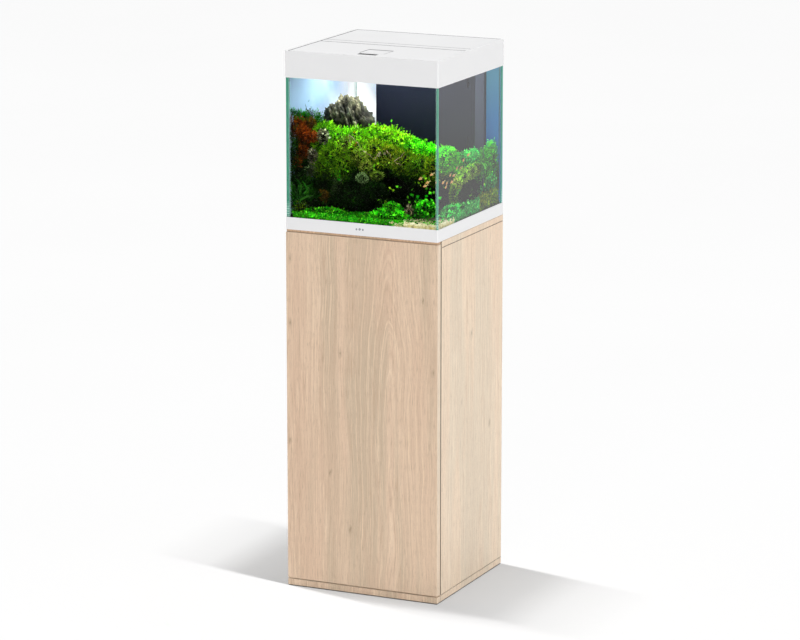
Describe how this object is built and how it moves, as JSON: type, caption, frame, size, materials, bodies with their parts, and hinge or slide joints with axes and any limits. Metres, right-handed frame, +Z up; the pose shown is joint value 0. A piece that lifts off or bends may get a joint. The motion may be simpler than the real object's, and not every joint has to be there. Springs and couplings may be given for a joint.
{
  "type": "aquarium on stand",
  "caption": "Glass cube aquarium with a white hood, internal corner filter and planted layout, on a tall pale oak cabinet with a push-to-open door.",
  "frame": {"origin": "centre of the footprint on the floor", "axes": "+Z up, +X to the right seen from the front, the front with the door faces -Y"},
  "size_m": [0.412, 0.4, 1.36],
  "materials": {
    "oak": "pale oak foil with vertical grain, satin",
    "hardboard": "pale grey coated hardboard, matt",
    "hood_white": "white satin plastic",
    "glass": "clear float glass with green cut edges",
    "silicone": "clear silicone bead",
    "filter_navy": "dark navy satin plastic",
    "guard_grey": "slate plastic",
    "foam_blue": "open-cell filter foam",
    "carbon_black": "granular carbon in a mesh bag",
    "pump_black": "black plastic",
    "steel": "nickel-plated steel",
    "grey_plastic": "grey plastic",
    "rubber_black": "black rubber",
    "soil": "dark plant soil with pale gravel in front",
    "stone": "rough jagged stone",
    "leaf_green": "green aquatic leaves",
    "leaf_red": "red-brown stem plants",
    "sky_film": "pale blue printed backdrop film",
    "led_white": "opal light diffuser",
    "foam_mat": "closed-cell foam mat"
  },
  "bodies": {
    "cabinet_and_tank": {"base_panel": "oak", "side_panel_left": "oak", "side_panel_right": "oak", "top_panel": "oak", "shelf": "oak", "back_panel": "hardboard", "base_frame": "hood_white", "hood_frame": "hood_white", "centre_bar": "hood_white", "rear_cover": "hood_white", "led_housing": "hood_white", "glass_bottom": "glass", "glass_front": "glass", "glass_back": "glass", "glass_left": "glass", "glass_right": "glass", "silicone_beads": "silicone", "filter_housing": "filter_navy", "filter_lid": "filter_navy", "filter_guard": "guard_grey", "foam_coarse": "foam_blue", "carbon_cartridge": "carbon_black", "pump_body": "pump_black", "heater_body": "pump_black", "shelf_pin_1": "steel", "shelf_pin_2": "steel", "shelf_pin_3": "steel", "shelf_pin_4": "steel", "hinge_arm_lower": "steel", "hinge_arm_upper": "steel", "hinge_plate_lower": "steel", "hinge_plate_upper": "steel", "flap_rod": "steel", "latch_body": "grey_plastic", "glide_1": "rubber_black", "glide_2": "rubber_black", "glide_3": "rubber_black", "glide_4": "rubber_black", "suction_cup": "rubber_black", "substrate": "soil", "rock": "stone", "carpet_front": "leaf_green", "plants_centre": "leaf_green", "plants_mid": "leaf_green", "plants_right": "leaf_green", "plants_corner": "leaf_green", "plants_left": "leaf_red", "backdrop_film": "sky_film", "led_lens": "led_white", "support_mat": "foam_mat"},
    "door": {"door": "oak", "hinge_cup_lower": "steel", "hinge_cup_upper": "steel", "latch_strike": "steel"},
    "flap": {"front_flap": "hood_white"},
    "hatch": {"feed_hatch": "hood_white"},
    "plunger": {"latch_plunger": "grey_plastic"},
    "impeller": {"pump_impeller": "grey_plastic"},
    "nozzle": {"outlet_nozzle": "pump_black"},
    "dial": {"heater_dial": "grey_plastic"}
  },
  "joints": [
    {"name": "door_hinge", "type": "hinge", "parent": "cabinet_and_tank", "child": "door", "pos_m": [-0.198, -0.1895, 0.46], "axis": [0, 0, -1], "range_deg": [0, 100]},
    {"name": "flap_hinge", "type": "hinge", "parent": "cabinet_and_tank", "child": "flap", "pos_m": [0, -0.018, 1.3585], "axis": [-1, 0, 0], "range_deg": [0, 100]},
    {"name": "hatch_hinge", "type": "hinge", "parent": "flap", "child": "hatch", "pos_m": [0.0065, -0.096, 1.3584], "axis": [-1, 0, 0], "range_deg": [0, 100]},
    {"name": "latch_slide", "type": "slide", "parent": "cabinet_and_tank", "child": "plunger", "axis": [0, 1, 0], "range_m": [0, 0.003], "stiffness_N_per_m": 200},
    {"name": "impeller_spin", "type": "hinge", "parent": "cabinet_and_tank", "child": "impeller", "pos_m": [0.065, 0.14, 1.0405], "axis": [0, 0, 1], "continuous": true},
    {"name": "nozzle_swivel", "type": "hinge", "parent": "cabinet_and_tank", "child": "nozzle", "pos_m": [-0.094, 0.15, 1.287], "axis": [1, 0, 0], "range_deg": [-45, 45]},
    {"name": "heater_setting", "type": "hinge", "parent": "cabinet_and_tank", "child": "dial", "pos_m": [0.14, 0.14, 1.2424], "axis": [0, 0, 1], "range_deg": [0, 270]}
  ]
}
